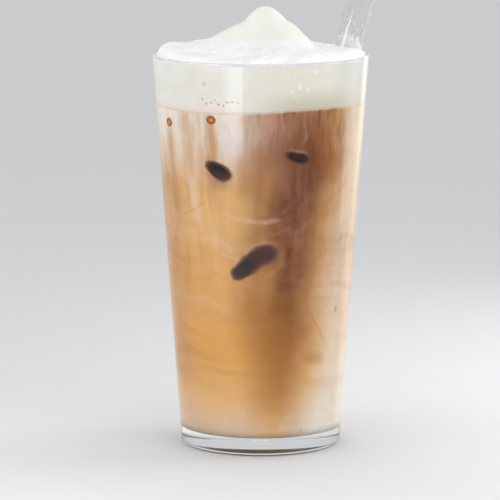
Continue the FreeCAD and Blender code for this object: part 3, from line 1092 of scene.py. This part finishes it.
def make_straw_foam(material):
    """Foam pushed up inside the straw: it reaches just into the tube's wall and climbs it unevenly."""
    radius = STRAW_RADIUS - STRAW_WALL + 0.08 * MM
    low = along_to(COFFEE_TOP_Z + 1.0 * MM)
    middle = in_straw(0.0, 0.0, along_to(RIM_Z + PLUG_RISE - PLUG_DIP))
    points = []
    rings = []
    for row in range(PLUG_ROWS + 1):

        def on_tube(turn):
            around = Vector((math.cos(turn), math.sin(turn), 0.0)) * 1.7
            climb = 2.6 * noise.noise(around) + 1.2 * noise.noise(around * 2.7 + Vector((5.0, 0.0, 0.0)))
            top = along_to(RIM_Z + PLUG_RISE + climb * MM)
            return in_straw(turn, radius, low + (top - low) * row / PLUG_ROWS)

        add_ring(points, rings, PLUG_AROUND, on_tube)
    edge = [points[index] for index in rings[-1]]
    for ring in range(1, PLUG_CROWN_RINGS + 1):
        inward = 1.0 - ring / (PLUG_CROWN_RINGS + 1.0)
        sink = STRAW_WAY * 1.1 * MM * (1.0 - inward ** 2) * inward
        rings.append(range(len(points), len(points) + PLUG_AROUND))
        points += [middle + (place - middle) * inward - sink for place in edge]
    points += [in_straw(0.0, 0.0, low), middle]
    faces = skin(rings, len(points) - 2, len(points) - 1)
    return ride(mesh_piece("straw_foam", points, faces), material, "milk_foam", "foam_in_straw")


# Drops of foam on the inside of the tube, over the plug: turn round it, height over the rim,
# half width and half height.
STRAW_DROPS = [
    (-95.0, 9.2, 0.30, 0.85), (-72.0, 7.6, 0.42, 0.60), (-118.0, 8.1, 0.36, 0.50),
    (-48.0, 9.8, 0.24, 0.60), (-140.0, 10.4, 0.26, 0.42), (-20.0, 8.4, 0.34, 0.44),
    (-84.0, 12.3, 0.22, 0.34), (-60.0, 14.6, 0.20, 0.26), (60.0, 8.8, 0.36, 0.56),
    (110.0, 10.0, 0.30, 0.46), (150.0, 8.0, 0.34, 0.40), (20.0, 11.6, 0.22, 0.40),
    (-128.0, 16.5, 0.18, 0.22), (-40.0, 20.0, 0.18, 0.24), (-101.0, 27.0, 0.17, 0.22),
    (-66.0, 36.0, 0.16, 0.20),
]


DROP_RINGS = 5
DROP_AROUND = 14
DROP_DEPTH = 0.22 * MM


def make_straw_drops(material):
    """Flattened drops of foam, one mesh for all."""
    points = []
    faces = []
    wall = STRAW_RADIUS - STRAW_WALL
    for degrees, rise, half_wide, half_high in STRAW_DROPS:
        along = along_to(RIM_Z + rise * MM)
        rings = []
        for ring in range(DROP_RINGS + 1):
            tip = math.pi * ring / DROP_RINGS

            def on_drop(angle):
                wide = half_wide * MM * math.sin(tip) * math.cos(angle)
                high = half_high * MM * math.sin(tip) * math.sin(angle)
                deep = DROP_DEPTH * math.cos(tip)
                return in_straw(math.radians(degrees) + wide / wall, wall - 0.10 * MM + deep, along + high)

            add_ring(points, rings, DROP_AROUND, on_drop)
        for inner, outer in zip(rings, rings[1:]):
            for step in range(DROP_AROUND):
                after = (step + 1) % DROP_AROUND
                faces.append((inner[step], outer[step], outer[after], inner[after]))
    return ride(mesh_piece("straw_drops", points, faces), material, "milk_foam")


# ---- studio --------------------------------------------------------------------------------

CAMERA_DISTANCE = 1.331
CAMERA_HEIGHT = 0.2795
CAMERA_PITCH = 8.97
CAMERA_YAW = 0.165
CAMERA_LENS = 271.9


def make_camera():
    camera = bpy.data.objects.new("camera", bpy.data.cameras.new("camera"))
    camera.data.lens = CAMERA_LENS
    camera.data.sensor_width = 36.0
    camera.location = (0.0, -CAMERA_DISTANCE, CAMERA_HEIGHT)
    camera.rotation_euler = (math.radians(90.0 - CAMERA_PITCH), 0.0, math.radians(CAMERA_YAW))
    bpy.context.scene.collection.objects.link(camera)
    bpy.context.scene.camera = camera


def softbox(name, heading, distance, low, high, width, radiance, fade=0.0, left_fade=0.0, right_fade=0.0,
            mirrored=True, lights=True):
    """An upright area lamp that faces the glass: its heading, edges, width and brightness.

    It fades out over a share of its height at its lower edge, and of its width at its left
    and right edges, as a soft reflector does. A fill isn't mirrored in the glass, and some
    others are only mirrored and light nothing.
    """
    turn = math.radians(heading)
    data = bpy.data.lights.new(name, "AREA")
    data.shape = "RECTANGLE"
    data.size = width
    data.size_y = high - low
    data.energy = radiance * math.pi * width * (high - low)
    shader = Shader(data)
    across, up, _ = shader.parts(shader.node("ShaderNodeNewGeometry").outputs["Parametric"])
    strength = 1.0
    for along, edge, full in ((up, 0.0, fade), (across, 0.0, left_fade), (across, 1.0, 1.0 - right_fade)):
        if edge != full:
            strength = shader.ease(along, edge, full, 0.0, strength)
    glow = shader.node("ShaderNodeEmission")
    shader.feed(glow.inputs["Color"], (1.0, 1.0, 1.0, 1.0))
    shader.feed(glow.inputs["Strength"], strength)
    shader.finish(glow.outputs[0], "ShaderNodeOutputLight")
    lamp = bpy.data.objects.new(name, data)
    lamp.location = (distance * math.sin(turn), -distance * math.cos(turn), (low + high) / 2.0)
    towards = Vector((0.0, 0.0, lamp.location.z)) - lamp.location
    lamp.rotation_euler = towards.to_track_quat("-Z", "Y").to_euler()
    lamp.visible_camera = False
    lamp.visible_transmission = False
    lamp.visible_glossy = mirrored
    lamp.visible_diffuse = lights
    bpy.context.scene.collection.objects.link(lamp)


def make_lights():
    softbox("key_left", -31.0, 0.33, 0.036, 0.110, 0.130, 4.4, fade=0.35, mirrored=False)
    softbox("key_strip", -30.0, 0.32, 0.036, 0.104, 0.132, 2.5, fade=0.40, left_fade=0.55)
    softbox("wide_left", -68.0, 0.38, 0.030, 0.240, 0.25, 2.9, fade=0.2, mirrored=False)
    softbox("fill_right", 38.0, 0.50, 0.020, 0.420, 0.42, 2.25, fade=0.2, mirrored=False)
    softbox("side_right", 106.0, 0.34, 0.012, 0.250, 0.23, 4.8, fade=0.35, mirrored=False)
    softbox("side_strip", 110.0, 0.33, 0.012, 0.250, 0.27, 0.9, fade=0.35, left_fade=0.5, right_fade=0.5)
    softbox("rim_right", 144.0, 0.36, 0.012, 0.250, 0.20, 1.0, fade=0.35, left_fade=0.5, right_fade=0.5)
    # Two tall narrow ones, high enough to be mirrored in the straw alone.
    softbox("straw_left", -52.0, 0.36, 0.118, 0.270, 0.200, 6.0, lights=False)
    softbox("straw_right", 80.0, 0.36, 0.118, 0.270, 0.130, 6.0, lights=False)
    sky = bpy.data.lights.new("overhead", "SUN")
    sky.energy = 1.35
    sky.angle = math.radians(70.0)
    lamp = bpy.data.objects.new("overhead", sky)
    lamp.rotation_euler = (math.radians(-12.0), math.radians(-10.0), 0.0)
    bpy.context.scene.collection.objects.link(lamp)


def make_world():
    """An even light, and a pale backdrop where the camera, a mirror or glass looks past the part."""
    shader = Shader(bpy.data.worlds.new("studio"))
    path = shader.node("ShaderNodeLightPath").outputs
    seen = shader.calc("MAXIMUM", path["Is Camera Ray"], path["Is Glossy Ray"])
    mixed = shader.node("ShaderNodeMixShader")
    shader.feed(mixed.inputs[0], shader.calc("MAXIMUM", seen, path["Is Transmission Ray"]))
    for slot, colour, strength in ((1, (1.0, 1.0, 1.0, 1.0), 0.50), (2, linear(206, 208, 210), 1.0)):
        light = shader.node("ShaderNodeBackground")
        light.inputs[0].default_value = colour
        light.inputs[1].default_value = strength
        shader.feed(mixed.inputs[slot], light.outputs[0])
    bpy.context.scene.world = shader.finish(mixed.outputs[0], "ShaderNodeOutputWorld")


def make_floor():
    shader = material_shader("Studio floor")
    material = shader.finish(shader.surface(
        Base_Color=linear(208, 210, 212), Roughness=0.8, Specular_IOR_Level=0.1))
    half = 8.0
    corners = [(-half, -half, 0), (half, -half, 0), (half, half, 0), (-half, half, 0)]
    floor = mesh_piece("studio_floor", corners, [(0, 1, 2, 3)])
    floor.data.materials.append(material)


# ---- making --------------------------------------------------------------------------------

make_camera()
make_world()
make_lights()
make_floor()
bpy.context.scene.view_settings.view_transform = "Standard"

make_glass(glass_material("Clear glass"))
make_straw(glass_material("Straw glass"))
make_coffee(coffee_material())
white_foam = foam_material()
make_foam(white_foam)
make_straw_foam(white_foam)
make_straw_drops(white_foam)
dark_ice = ice_material()
for name, ovals in ICE.items():
    make_ice(ovals, name, dark_ice)
make_bubbles(bubble_material())
